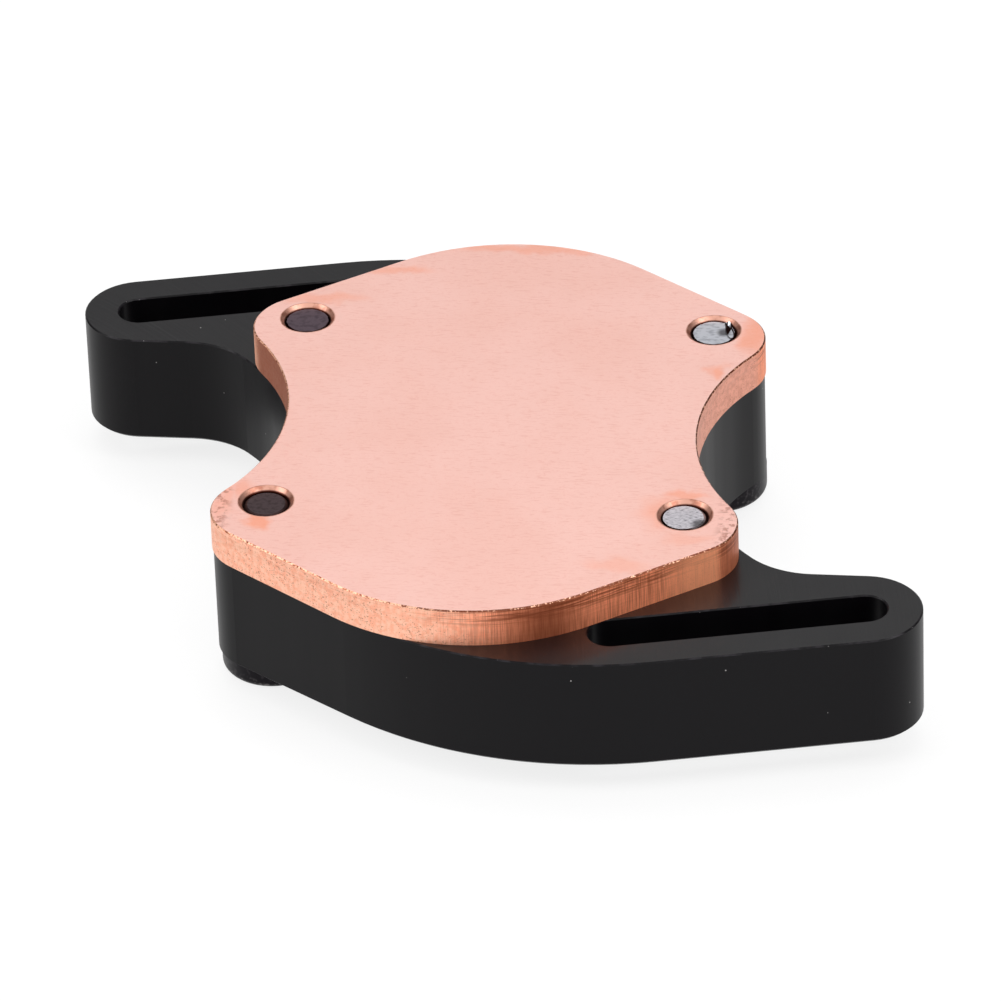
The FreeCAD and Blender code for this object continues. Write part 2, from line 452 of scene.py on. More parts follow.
@dataclass(frozen=True)
class MilledFlank:
    """The copper's milled flanks, under a thin oxide skin that mutes the mirror.

    They are salmon with pits and fine cutter marks. Those that face right carry brown
    drag lines under the edge, and are painted a deeper streaked orange as a painted warm
    reflection. A brown band on the near end is a painted dark reflection, a lighter band
    towards the near right corner is a painted highlight, and the corner's last stretch
    is painted shade. The notches are painted browner as shade, and pinker where they
    face right.
    """

    pale_hex: str = "#FFC5A9"
    shade_hex: str = "#F9AE90"
    # painted warm reflection: flanks that face right are deepened to orange
    painted_reflection_hex: str = "#F8976F"
    # painted highlight: a lighter band on the near right flank towards its corner
    highlight_band_hex: str = "#F9A67C"
    # brown of the cutter's marks and drag lines, also used for painted dark reflection and
    # painted shade
    brown_marks_and_shade_hex: str = "#76381F"
    # painted shade in the concave notches, lighter pink where they face right
    notch_shade_hex: str = "#86452F"
    notch_lit_hex: str = "#DDA08D"
    pit_hex: str = "#8E4A36"
    mottle: Pattern = Pattern(0.3846, 4.0, (0.35, 0.68))
    right: Ramp = (-0.25, 0.35)  # of the normal, to the right
    score: Ramp = (0.35, 0.7, 0.0, 0.55)
    calm: Ramp = (13.0, 16.5, 1.0, 0.8)  # marks fade a little towards the corner
    kept: Ramp = (0.0, 1.0, 0.15, 1.0)  # and to the left
    drag: Pattern = Pattern((3.2, 3.2, 0.13), 3.0, (0.4, 0.62, 0.0, 0.9))
    high: Ramp = (12.7, 13.6, 0.1, 1.0)
    # painted dark reflection: a brown band along the near flank, where it mirrors the black
    # body
    painted_dark_reflection: tuple[Ramp, ...] = ((1.5, 6.6), (10.5, 6.6), (-14.0, -18.0, 0.0, 0.8))
    # painted highlight band along X
    highlight_band: tuple[Ramp, ...] = ((13.5, 17.2), (18.6, 18.0, 0.0, 0.7))
    # painted shade: the near right corner's last stretch is browned
    corner: Ramp = (18.2, 18.7, 0.0, 0.5)
    front: Ramp = (-9.0, -11.0)
    notch_out: Ramp = (14.4, 15.0)  # the notches start here along X
    notch_in: Ramp = (11.6, 10.0, 0.0, 0.85)  # and end here along Y
    notch_dulling: float = 0.25
    pit: Pattern = Pattern((0.15, 0.15, 0.10), 2.0, (0.6, 0.7, 0.0, 0.75))  # coarser
    clump: Pattern = Pattern(2.0, 2.0, (0.3, 0.65, 0.07, -0.03))
    sparse: Ramp = (0.0, 1.0, 1.0, 0.25)  # pits are rarer to the right
    notch_pits: float = 1.3

    def scored(self, surface: Surface, cutter: Socket, right: Socket) -> list[Layer]:
        """Cut the cutter's marks and, under the edge, its drag lines.

        Args:
            surface: Copper on the bench.
            cutter: Upright cutter marks.
            right: Share of the flank that faces right.

        Returns:
            The layers, in order.
        """
        add = surface.add
        calm = add("MapRange", surface.x, *self.calm, **EASED)
        kept = add("Math", add("MapRange", right, *self.kept), calm, **TIMES)
        score = add("MapRange", cutter, *self.score, **EASED)
        drag = self.drag.noise(surface)
        under = surface.within((drag, self.drag.ramp), (surface.z, self.high))
        return [(add("Math", marks, kept, **TIMES), self.brown_marks_and_shade_hex) for marks in (score, under)]

    def painted_bands(self, surface: Surface) -> list[Layer]:
        """Paint the near flank's dark reflection, highlight band and corner shade.

        Args:
            surface: Copper on the bench.

        Returns:
            The layers, in order.
        """
        add, x, y = surface.add, surface.x, surface.y
        painted_dark_reflection = surface.within(*zip((x, x, y), self.painted_dark_reflection))
        front = add("MapRange", y, *self.front)
        highlight_band = surface.within(*zip((x, x), self.highlight_band))
        corner = surface.within((x, self.corner))
        return [
            # painted dark reflection
            (painted_dark_reflection, self.brown_marks_and_shade_hex),
            # painted highlight
            (add("Math", highlight_band, front, **TIMES), self.highlight_band_hex),
            # painted shade at the corner
            (add("Math", corner, front, **TIMES), self.brown_marks_and_shade_hex),
        ]

    def pits(self, surface: Surface, right: Socket, hollow: Socket) -> Socket:
        """Share of pits, in clumps.

        Args:
            surface: Copper on the bench.
            right: Share of the flank that faces right.
            hollow: Share of the notches.

        Returns:
            0 on whole metal to 1 in a deep pit.
        """
        add = surface.add
        clumped = add("MapRange", self.clump.noise(surface), *self.clump.ramp)
        depth = add("Math", self.pit.noise(surface), clumped, operation="SUBTRACT")
        pits = add("MapRange", depth, *self.pit.ramp, **EASED)
        sparse = add("Mix", hollow, add("MapRange", right, *self.sparse), self.notch_pits)
        return add("Math", pits, sparse, use_clamp=True, **TIMES)

    def colour(self, surface: Surface, cutter: Socket) -> Socket:
        """Colour of the flanks.

        Args:
            surface: Copper on the bench.
            cutter: Upright cutter marks.

        Returns:
            Salmon to orange copper with its marks, its tarnish, its notches and its pits.
        """
        add = surface.add
        mottle = self.mottle.share(surface)
        right = add("MapRange", surface.sideways, *self.right, **EASED)
        folded = add("VectorMath", surface.place, operation="ABSOLUTE")
        side_x, side_y, _ = add("SeparateXYZ", folded).node.outputs
        hollow = surface.within((side_x, self.notch_out), (side_y, self.notch_in))
        dulled = add("Math", mottle, self.notch_dulling, **TIMES)
        # painted shade in the notches, lit pink where they face right and mottled brown
        notch_lit_and_shade = surface.layered(
            self.notch_shade_hex, (right, self.notch_lit_hex), (dulled, self.brown_marks_and_shade_hex)
        )
        return surface.layered(
            self.pale_hex,
            (mottle, self.shade_hex),
            # painted warm reflection on the flanks that face right
            (right, self.painted_reflection_hex),
            *self.scored(surface, cutter, right),
            *self.painted_bands(surface),
            (hollow, notch_lit_and_shade),
            (self.pits(surface, right, hollow), self.pit_hex),
        )


@dataclass(frozen=True)
class BrokenEdge:
    """The copper's broken edge: painted highlight, grime and painted shade, painted burr
    glints.
    """

    # painted highlight along the edge
    highlight_hex: str = "#F9C4A6"
    shade_hex: str = "#CF8466"
    # grime, and painted shade where it thickens to the right
    grime_hex: str = "#6A3626"
    fleck: Pattern = Pattern(0.1667, 2.0, (0.45, 0.6))
    right: Ramp = (-7.0, 1.0)
    start: Ramp = (0.0, 1.0, 0.56, 0.34)  # grime and painted shade take in more flecks to the right
    grime: Ramp = (0.0, 0.1, 0.0, 0.9)
    # painted glints on burrs
    burr_glint: Pattern = Pattern(0.3125, 2.0, (0.64, 0.7, 0.0, 0.8))

    def colour(self, surface: Surface) -> Socket:
        """Colour of the edge.

        Args:
            surface: Copper on the bench.

        Returns:
            Flecked copper painted as a highlight, with grime, painted shade and burr glints.
        """
        add = surface.add
        flecks = self.fleck.noise(surface)
        right = add("MapRange", surface.x, *self.right, **EASED)
        start = add("MapRange", right, *self.start)
        grime = add("Math", flecks, start, operation="SUBTRACT")
        return surface.layered(
            self.highlight_hex,
            (add("MapRange", flecks, *self.fleck.ramp, **EASED), self.shade_hex),
            (add("MapRange", grime, *self.grime, **EASED), self.grime_hex),
            (self.burr_glint.share(surface), self.highlight_hex),
        )


@dataclass(frozen=True)
class Countersink:
    """The turned countersinks, smudged, and the tapped holes' thread in painted shade."""

    cone_hex: str = "#D6A18E"
    smudge_hex: str = "#A0614D"
    # painted shade: the thread down in the tapped holes is near black
    thread_shade_hex: str = "#38160F"
    hole_mm: Triple = (15.5, 12.5, 0.0)
    shift_mm: Triple = (0.0, 1.0, 0.0)  # the holes' middle, off the plate's
    smudge: Pattern = Pattern(0.625, 3.0, (0.42, 0.66, 0.0, 0.7))
    thread: Ramp = (1.84, 1.74)

    def distance(self, surface: Surface) -> Socket:
        """Distance from the nearest screw's axis.

        Args:
            surface: Copper on the bench.

        Returns:
            The distance, in millimetres.
        """
        add = surface.add
        shifted = add("VectorMath", surface.place, self.shift_mm, operation="SUBTRACT")
        folded = add("VectorMath", shifted, operation="ABSOLUTE")
        flat = add("VectorMath", folded, IN_PLAN, **TIMES)
        return add("VectorMath", flat, self.hole_mm, operation="DISTANCE")

    def colour(self, surface: Surface, distance: Socket) -> Socket:
        """Colour of the countersinks.

        Args:
            surface: Copper on the bench.
            distance: Distance from the screw's axis.

        Returns:
            Turned copper with smudges, and painted shade on the thread below.
        """
        # painted shade down in the tapped hole
        down = surface.within((distance, self.thread))
        smudges = self.smudge.share(surface)
        return surface.layered(
            self.cone_hex, (smudges, self.smudge_hex), (down, self.thread_shade_hex)
        )


@dataclass(frozen=True)
class MilledCopper:
    """Oxygen-free copper plate, milled to its outline, with a lapped contact face.

    Bare copper gives the eye a warm pink metal: satin on the lapped face, duller and
    more orange on the oxidised flanks.
    """

    face: LappedFace = LappedFace()
    flank: MilledFlank = MilledFlank()
    edge: BrokenEdge = BrokenEdge()
    cone: Countersink = Countersink()
    grain: Pattern = Pattern(0.2, 3.0)  # lapping grit, coarser
    grain_relief_mm: float = 0.004
    cutter: Pattern = Pattern((0.08, 0.08, 2.4), 2.0)  # tooth marks, coarser
    cutter_relief_mm: float = 0.03
    face_roughness: Ramp = (0.3, 0.7, 0.46, 0.54)
    flank_roughness: float = 0.48
    cone_roughness: float = 0.42
    flank_metal: float = 0.30  # the rest of the flank is matt oxide
    skin_specular: float = 0.15
    face_ramp: Ramp = (0.86, 0.97)  # of the normal's upright part
    flank_ramp: Ramp = (0.45, 0.25)
    cone_ramp: Ramp = (2.16, 2.06)
    bore: Ramp = (2.2, 2.3)

    def material(self) -> Material:
        """Put the finish together.

        Returns:
            Copper that tells its face, flanks, edges and countersinks apart by their
            slope and place.
        """
        surface = Surface("oxygen_free_copper_lapped_and_milled")
        add = surface.add
        grain, cutter = self.grain.noise(surface), self.cutter.noise(surface)
        distance = self.cone.distance(surface)
        face = add("MapRange", surface.level, *self.face_ramp, **EASED)
        flank = add("MapRange", surface.level, *self.flank_ramp, **EASED)
        cone = add("MapRange", distance, *self.cone_ramp, **EASED)
        colour = surface.layered(
            self.edge.colour(surface),
            (face, self.face.colour(surface, grain)),
            (flank, self.flank.colour(surface, cutter)),
            (cone, self.cone.colour(surface, distance)),
        )
        satin = add("MapRange", grain, *self.face_roughness)
        milled = add("Mix", flank, satin, self.flank_roughness)
        gloss = add("Mix", cone, milled, self.cone_roughness)
        skin = add("Math", flank, add("MapRange", distance, *self.bore), **TIMES)

        lapped = add("Bump", 1.0, self.grain_relief_mm * MM, named={"Height": grain})
        cut = {"Height": add("Math", cutter, flank, **TIMES), "Normal": lapped}
        return surface.finish(
            Base_Color=colour,
            Metallic=add("Mix", skin, 1.0, self.flank_metal),
            Roughness=gloss,
            Specular_IOR_Level=self.skin_specular,
            Normal=add("Bump", 1.0, self.cutter_relief_mm * MM, named=cut),
        )


@dataclass(frozen=True)
class Specks:
    """A scatter of pale dust specks."""

    apart_mm: float
    rim: Ramp  # where a speck ends and is full, in shares of its cell
    chance: Ramp  # how rare a speck is, and how pale it gets

    def share(self, surface: Surface) -> Socket:
        """Share of dust.

        Args:
            surface: Acetal on the bench.

        Returns:
            0 on bare acetal, and more on a speck.
        """
        add = surface.add
        cells = add("TexVoronoi", surface.place, 1 / self.apart_mm).node.outputs
        speck = add("MapRange", cells["Distance"], *self.rim, **EASED)
        kept = add("MapRange", add("SeparateXYZ", cells["Color"]), *self.chance)
        return add("Math", speck, kept, **TIMES)


@dataclass(frozen=True)
class MilledAcetal:
    """Black acetal copolymer, milled from sheet.

    It gives the eye a deep black, a little violet, with a soft waxy gloss. The face
    cutter burnishes the flat faces in fine arcs, so they mirror more than the sides,
    and they are painted a shade lighter along the arcs, as lit from above. The broken
    edges are painted paler, partly wear and partly a painted highlight, and hold lint.
    """

    side_hex: str = "#070508"
    # painted light: flat tops a shade lighter than the sides along the arcs, as lit from above
    lit_top_hex: str = "#0C0A0D"
    # wear on the broken edges, partly a painted highlight
    worn_edge_and_sheen_hex: str = "#2B282C"
    dust_hex: str = "#C9C5C4"
    roughness: Ramp = (0.3, 0.7, 0.32, 0.42)
    specular_level: float = 0.16
    refraction: float = 1.48
    burnish: float = 0.92
    burnish_roughness: float = 0.17
    burnish_refraction: float = 1.6
    flat: Ramp = (0.85, 0.97)  # of the normal's upright part
    side: Ramp = (0.25, 0.4)
    arc_centre_mm: Triple = (-70.0, -36.0, 0.0)
    arc_break: Triple = (0.08, 0.08, 0.0)
    arc: Pattern = Pattern((0.22, 2.0, 2.0), 2.0, (0.3, 0.7, 0.55, 1.0))  # coarser
    arc_relief_mm: float = 0.012
    band: Pattern = Pattern((2.4, 2.4, 60.0), 3.0)
    wear: Pattern = Pattern(1.111, 4.0, (0.42, 0.66, 0.0, 0.8))
    rim: Ramp = (11.12, 11.18)  # the upper edge, which holds lint
    slant: Ramp = (0.97, 0.9)
    loose: Specks = Specks(1.818, (0.035, 0.02), (0.5, 0.6, 0.0, 0.6))
    lint: Specks = Specks(0.3333, (0.1, 0.05), (0.35, 0.6, 0.0, 0.7))

    def arcs(self, surface: Surface) -> Socket:
        """Feed marks of the face cutter.

        Args:
            surface: Acetal on the bench.

        Returns:
            Ridges of 0 to 1 on wide arcs, broken up unevenly.
        """
        add = surface.add
        flat = add("VectorMath", surface.place, IN_PLAN, **TIMES)
        radius = add("VectorMath", flat, self.arc_centre_mm, operation="DISTANCE")
        ring = add("CombineXYZ", radius)
        swept = add("VectorMath", surface.place, self.arc_break, ring, **TIMES_PLUS)
        return self.arc.noise(surface, swept)

    def dust(self, surface: Surface) -> Socket:
        """Share of pale dust, most of it on the upper edge.

        Args:
            surface: Acetal on the bench.

        Returns:
            0 on bare acetal, and more on a speck.
        """
        add = surface.add
        rim = add("MapRange", surface.z, *self.rim)
        edge = add("Math", rim, add("MapRange", surface.level, *self.slant), **TIMES)
        caught = add("Math", self.lint.share(surface), edge, **TIMES)
        return add("Math", self.loose.share(surface), caught, operation="MAXIMUM")

    def material(self) -> Material:
        """Put the finish together.

        Returns:
            Black acetal that tells flat faces, sides and broken edges apart by slope.
        """
        surface = Surface("acetal_black_milled")
        add = surface.add
        arcs = self.arcs(surface)
        gloss = add("MapRange", self.band.noise(surface), *self.roughness)
        flat = add("MapRange", surface.level, *self.flat, **EASED)
        tilted = add("MapRange", surface.level, *self.side, **EASED)
        slant = add("Math", tilted, flat, operation="SUBTRACT", use_clamp=True)
        # worn broken edges, paler partly as a painted highlight
        worn_and_sheen = add("Math", slant, self.wear.share(surface), **TIMES)
        ridge = add("MapRange", arcs, *self.arc.ramp, **EASED)
        colour = surface.layered(
            self.side_hex,
            # painted light on the flat tops
            (flat, surface.layered(self.side_hex, (ridge, self.lit_top_hex))),
            (worn_and_sheen, self.worn_edge_and_sheen_hex),
            (self.dust(surface), self.dust_hex),
        )
        ridged = {"Height": add("Math", arcs, flat, **TIMES)}
        combed = add("Bump", 1.0, self.arc_relief_mm * MM, named=ridged)
        return surface.finish(
            Base_Color=colour,
            Roughness=gloss,
            Specular_IOR_Level=self.specular_level,
            IOR=self.refraction,
            Coat_Weight=add("Math", flat, self.burnish, **TIMES),
            Coat_Roughness=self.burnish_roughness,
            Coat_IOR=self.burnish_refraction,
            Normal=combed,
            Coat_Normal=combed,
        )


@dataclass(frozen=True)
class MouldedNitrile:
    """Nitrile rubber, moulded as a round cord.

    It gives the eye a dull charcoal with a fine skin and a pale bloom in patches, and no
    clear highlight.
    """

    skin_hex: str = "#17181A"
    bloom_hex: str = "#35363A"
    roughness: Ramp = (0.3, 0.7, 0.54, 0.70)
    specular_level: float = 0.3
    skin: Pattern = Pattern(0.15, 4.0)
    skin_relief_mm: float = 0.008
    bloom: Pattern = Pattern(2.5, 3.0, (0.45, 0.7))

    def material(self) -> Material:
        """Put the finish together.

        Returns:
            Charcoal rubber.
        """
        surface = Surface("nitrile_rubber_moulded")
        add = surface.add
        skin = self.skin.noise(surface)
        bloomed = (self.bloom.share(surface), self.bloom_hex)
        return surface.finish(
            Base_Color=surface.layered(self.skin_hex, bloomed),
            Roughness=add("MapRange", skin, *self.roughness),
            Specular_IOR_Level=self.specular_level,
            Normal=add("Bump", 1.0, self.skin_relief_mm * MM, named={"Height": skin}),
        )


@dataclass(frozen=True)
class EndFinish:
    """How the end of a screw was left: its colours, its gloss and its marks."""

    clean_hex: str
    mark_hex: str
    roughness: float
    stroke_mm: Triple
    relief_mm: float
    painted_shade_mm: Triple = (9.0, 9.0, 0.5)  # painted shade: its place and its reach; off the end unless set


class TipFinish(Enum):
    """The ways in which the screws' ends were left."""

    FILED_BRIGHT = EndFinish(
        "#E2DEE4", "#96929A", 0.36, (0.35, 0.07, 1.0), 0.006, (1.2, -0.8, 0.9)
    )
    GROUND_GREY = EndFinish(
        "#C9CBD2", "#A7A9B1", 0.42, (0.6, 0.3, 1.0), 0.003, (0.75, 0.1, 0.7)
    )
    OXIDE_BLACK = EndFinish("#4E4244", "#3E3435", 0.46, (0.35, 0.25, 1.0), 0.003)
    OXIDE_PURPLE = EndFinish("#5E5159", "#4E434A", 0.46, (0.5, 0.4, 1.0), 0.002)


@dataclass(frozen=True)
class BlackOxideSteel:
    """Carbon steel screw with a black oxide skin, its end filed or left as it was cut.

    The skin gives the eye a near-black slightly oily metal that wears to bare steel in
    specks on the head's rim. A filed end is bright with fine wavy strokes.
    """

    skin_hex: str = "#1F1D20"
    worn_hex: str = "#3C393C"
    bare_hex: str = "#6E6A69"
    # painted shade: the screw is dark brown where it sits down in the tapped hole
    hole_shade_hex: str = "#26120E"
    roughness: float = 0.42
    wear: Pattern = Pattern(0.35, 4.0, (0.5, 0.75))
    wear_relief_mm: float = 0.006
    rim: Ramp = (3.3, 3.7)
    low: Ramp = (1.0, 0.3)
    bare: Ramp = (0.52, 0.66, 0.0, 0.6)
    sway: Pattern = Pattern(1.429, 1.0)
    sway_mm: Triple = (0.0, 0.5, 0.0)
    stroke_octaves: float = 3.0
    stroke: Ramp = (0.44, 0.68)
    shade_core: float = 0.3  # in shares of its reach
    shade_depth: float = 0.8
    hole_shade: Ramp = (12.0, 12.1, 0.0, 0.85)  # painted shade down in the tapped hole
    end: Ramp = (13.96, 13.99)
    facing: Ramp = (0.8, 0.93)

    def material(self, tip: TipFinish, x: float, y: float) -> Material:
        """Put the finish together for one screw.

        Args:
            tip: How the screw's end was left.
            x: Place of the screw's axis, in millimetres.
            y: Place of the screw's axis, in millimetres.

        Returns:
            Black steel with a worn head and the given end.
        """
        left = tip.value
        surface = Surface("black_oxide_steel_" + tip.name.lower())
        add = surface.add
        flat = add("VectorMath", surface.place, IN_PLAN, **TIMES)
        radius = add("VectorMath", flat, (x, y, 0.0), operation="DISTANCE")
        wear = self.wear.noise(surface)
        bare = surface.within((radius, self.rim), (surface.z, self.low), (wear, self.bare))

        sway = self.sway.noise(surface).node.outputs["Color"]
        wavy = add("VectorMath", sway, self.sway_mm, surface.place, **TIMES_PLUS)
        strokes = Pattern(left.stroke_mm, self.stroke_octaves).noise(surface, wavy)
        # painted shade on the end: a dark crescent by the thread gap on the filed end, the
        # sliver's shadow on the ground end
        across, along, reach = left.painted_shade_mm
        away = add("VectorMath", flat, (x + across, y + along, 0.0), operation="DISTANCE")
        painted_shade = (reach, self.shade_core * reach, 0.0, self.shade_depth)
        end = surface.layered(
            left.clean_hex,
            (add("MapRange", strokes, *self.stroke, **EASED), left.mark_hex),
            (add("MapRange", away, *painted_shade, **EASED), self.worn_hex),
        )

        above = add("MapRange", surface.z, *self.end)
        tipped = add("Math", above, add("MapRange", surface.upward, *self.facing), **TIMES)
        colour = surface.layered(
            self.skin_hex,
            (add("MapRange", wear, *self.wear.ramp, **EASED), self.worn_hex),
            (bare, self.bare_hex),
            # painted shade down in the tapped hole
            (add("MapRange", surface.z, *self.hole_shade), self.hole_shade_hex),
            (tipped, end),
        )
        rough = add("Bump", 1.0, self.wear_relief_mm * MM, named={"Height": wear})
        cut = {"Height": add("Math", strokes, tipped, **TIMES), "Normal": rough}
        return surface.finish(
            Base_Color=colour,
            Metallic=1.0,
            Roughness=add("Mix", tipped, self.roughness, left.roughness),
            Normal=add("Bump", 1.0, left.relief_mm * MM, named=cut),
        )


# ---- Threads ----


@dataclass(frozen=True)
class Ridge:
    """The winding of a right-hand thread. Sizes are in millimetres."""

    foot_radius: float
    crest_radius: float
    pitch: float
    turns: float
    start: float
    foot_share: float = 0.86  # width of the foot and of the crest, in pitches
    crest_share: float = 0.15
    fade: float = 0.25
    end_reach: float = 0.6  # an open end lies this near its level, in widths of the foot
    steps_per_turn: int = 60

    def is_end(self, level: float, edge: bmesh.types.BMEdge) -> bool:
        """Say whether an edge belongs to the open end at this level."""
        reach = self.end_reach * self.foot_share * self.pitch * MM
        return edge.is_boundary and all(abs(v.co.z - level * MM) < reach for v in edge.verts)

    def wind(self) -> Piece:
        """Stand a plane up beside the axis, narrow its crest and wind it up.

        Returns:
            The ridge, with pointed ends that fade into the foot.
        """
        foot = self.foot_share * self.pitch * MM
        inner, outer = sorted((self.foot_radius * MM, self.crest_radius * MM))
        place = ((inner + outer) / 2, 0.0, self.start * MM)
        upright = (math.pi / 2, 0, 0)
        bpy.ops.mesh.primitive_plane_add(size=foot, location=place, rotation=upright)
        ridge = bpy.context.object
        bpy.ops.object.transform_apply()
        with shaping(ridge, "VERT"):
            bpy.ops.mesh.select_all(action="SELECT")
            bpy.ops.transform.resize(
                value=((outer - inner) / foot, 1, 1), center_override=place
            )
            crest = self.crest_radius * MM
            pick(ridge, "verts", lambda v: abs(v.co.x - crest) < TINY)
            bpy.ops.transform.resize(
                value=(1, 1, self.crest_share / self.foot_share), center_override=place
            )
            bpy.ops.mesh.select_all(action="SELECT")
            bpy.ops.mesh.delete(type="ONLY_FACE")
        steps = round(self.steps_per_turn * self.turns)
        turned, rise = math.tau * self.turns, self.pitch * self.turns
        apply_modifier(
            ridge,
            "SCREW",
            angle=turned,
            screw_offset=rise * MM,
            steps=steps,
            render_steps=steps,
        )
        fading = math.copysign(self.fade, self.foot_radius - self.crest_radius) * MM
        ends = (
            (self.start, Vector((1, 0, 0))),
            (self.start + rise, Vector((math.cos(turned), math.sin(turned), 0))),
        )
        with shaping(ridge, "EDGE"):
            for level, outward in ends:
                pick(ridge, "edges", partial(self.is_end, level))
                bpy.ops.mesh.edge_face_add()
                bpy.ops.mesh.merge(type="CENTER")
                bpy.ops.transform.translate(value=outward * fading)
        return ridge


# ---- Screws ----


@dataclass(frozen=True)
class PanHeadScrew:
    """An M4 pan head screw that stands on its head. Sizes are in millimetres."""

    head_radius: float = 3.85
    head_height: float = 2.3
    head_round: float = 0.6
    core_radius: float = 1.65
    major_radius: float = 2.0
    end_radius: float = 1.5
    pitch: float = 0.7
    thread_start: float = 3.5
    turns: float = 14.0
    tip_height: float = 14.05
    drive_span: float = 4.3
    drive_arm: float = 0.95
    drive_depth: float = 1.5
    drive_taper: float = 0.4
    punch_proud: float = 0.05  # the recess's punch starts this far outside the head
    neck_sunk: float = 0.1  # the core starts this far inside the head
    foot_sunk: float = 0.05  # and the thread this far inside the core
    head_sides: int = 96
    core_sides: int = 72
    round_steps: int = 7

    def drive(self) -> Piece:
        """Model the punch that the cross recess is cut with.

        Returns:
            A cross, wide at the head's outer face and narrow at its end.
        """
        arm, depth = self.drive_arm * MM, self.drive_depth * MM
        proud = self.punch_proud * MM
        bpy.ops.mesh.primitive_cube_add(size=arm, location=(0, 0, arm / 2 - proud))
        cross = bpy.context.object
        bpy.ops.object.transform_apply()
        with shaping(cross):
            pick(cross, "faces", lambda f: f.normal.z > ALONG)
            bpy.ops.transform.translate(value=(0, 0, depth + proud - arm))
            pick(cross, "faces", lambda f: abs(f.normal.z) < ACROSS)
            reach = (self.drive_span - self.drive_arm) / 2 * MM
            bpy.ops.mesh.extrude_faces_move(TRANSFORM_OT_shrink_fatten={"value": reach})
            pick(cross, "faces", lambda f: f.normal.z > ALONG)
            narrow = (self.drive_taper, self.drive_taper, 1)
            bpy.ops.transform.resize(value=narrow, center_override=(0, 0, depth))
        return cross

    def head(self) -> Piece:
        """Model the head: a disc with a rounded rim and a cross recess.

        Returns:
            The head, with its outer face down.
        """
        bpy.ops.mesh.primitive_cylinder_add(
            vertices=self.head_sides,
            radius=self.head_radius * MM,
            depth=self.head_height * MM,
            location=(0, 0, self.head_height / 2 * MM),
        )
        disc = bpy.context.object
        bpy.ops.object.transform_apply()
        with shaping(disc, "EDGE"):
            pick(disc, "edges", lambda e: all(v.co.z < TINY for v in e.verts))
            bpy.ops.mesh.bevel(offset=self.head_round * MM, segments=self.round_steps)
        punch = self.drive()
        apply_modifier(disc, "BOOLEAN", object=punch, solver="EXACT")
        bpy.data.objects.remove(punch)
        return disc

    def shank(self) -> Piece:
        """Model the core, with a neck under the head and a chamfered end.

        Returns:
            The core, from just inside the head to the screw's end.
        """
        foot, top = (self.head_height - self.neck_sunk) * MM, self.tip_height * MM
        bpy.ops.mesh.primitive_cylinder_add(
            vertices=self.core_sides,
            radius=self.core_radius * MM,
            depth=top - foot,
            location=(0, 0, (top + foot) / 2),
        )
        core = bpy.context.object
        bpy.ops.object.transform_apply()
        with shaping(core, "EDGE"):
            pick(core, "edges", lambda e: all(abs(v.co.z - top) < TINY for v in e.verts))
            bpy.ops.mesh.bevel(offset=(self.core_radius - self.end_radius) * MM, segments=1)
            bpy.ops.mesh.select_all(action="SELECT")
            neck = (0, 0, self.thread_start * MM)
            bpy.ops.mesh.bisect(plane_co=neck, plane_no=(0, 0, 1))
            pick(core, "verts", lambda v: abs(v.co.z - foot) < TINY)
            wider = self.major_radius / self.core_radius
            bpy.ops.transform.resize(value=(wider, wider, 1), center_override=(0, 0, foot))
        return core

    def build(self) -> Piece:
        """Model the screw.

        Returns:
            One piece on the part's axis, with a real thread.
        """
        thread = Ridge(
            foot_radius=self.core_radius - self.foot_sunk,
            crest_radius=self.major_radius,
            pitch=self.pitch,
            turns=self.turns,
            start=self.thread_start,
        )
        parts = [self.head(), self.shank(), thread.wind()]
        for part in parts:
            settle(part)
        screw = take(*parts)
        bpy.ops.object.join()
        return screw


@dataclass(frozen=True)
class Sliver:
    """The sliver that the file left curled on a screw's end. Sizes are in millimetres."""

    place: Triple = (1.22, 0.12, 0.07)  # from the middle of the screw's end
    radius: float = 0.9
    narrowing: float = 0.34
    rim: float = 0.13
    dish: Triple = (-0.03, 0.0, -0.14)
    floor_rim: float = 0.07
    floor_rise: float = 0.03
    tail_start: float = 0.8
    tail: Triple = (0.10, 0.40, 0.06)
    leans_deg: tuple[tuple[str, float], ...] = (("Z", -14.0), ("Y", -6.0))
    thickness: float = 0.05
    sides: int = 28

    def build(self, end: Vector) -> Piece:
        """Dish a leaf, draw out its tail and lean it outwards.

        Args:
            end: Middle of the screw's end, in millimetres.

        Returns:
            A thin leaf with a raised rim.
        """
        middle = (end + Vector(self.place)) * MM
        bpy.ops.mesh.primitive_circle_add(
            vertices=self.sides, radius=self.radius * MM, fill_type="NGON", location=middle
        )
        leaf = bpy.context.object
        bpy.ops.object.transform_apply()
        with shaping(leaf):
            bpy.ops.mesh.select_all(action="SELECT")
            bpy.ops.transform.resize(value=(self.narrowing, 1, 1), center_override=middle)
            bpy.ops.mesh.inset(thickness=self.rim * MM)
            bpy.ops.transform.translate(value=Vector(self.dish) * MM)
            bpy.ops.mesh.inset(thickness=self.floor_rim * MM)
            bpy.ops.transform.translate(value=(0, 0, self.floor_rise * MM))
            tail = middle.y + self.tail_start * MM
            pick(leaf, "verts", lambda v: v.co.y > tail)
            bpy.ops.transform.translate(value=Vector(self.tail) * MM)
            bpy.ops.mesh.select_all(action="SELECT")
            for axis, lean_deg in self.leans_deg:
                bpy.ops.transform.rotate(
                    value=math.radians(lean_deg), orient_axis=axis, center_override=middle
                )
        apply_modifier(leaf, "SOLIDIFY", thickness=self.thickness * MM, offset=0.0)
        settle(leaf)
        return leaf


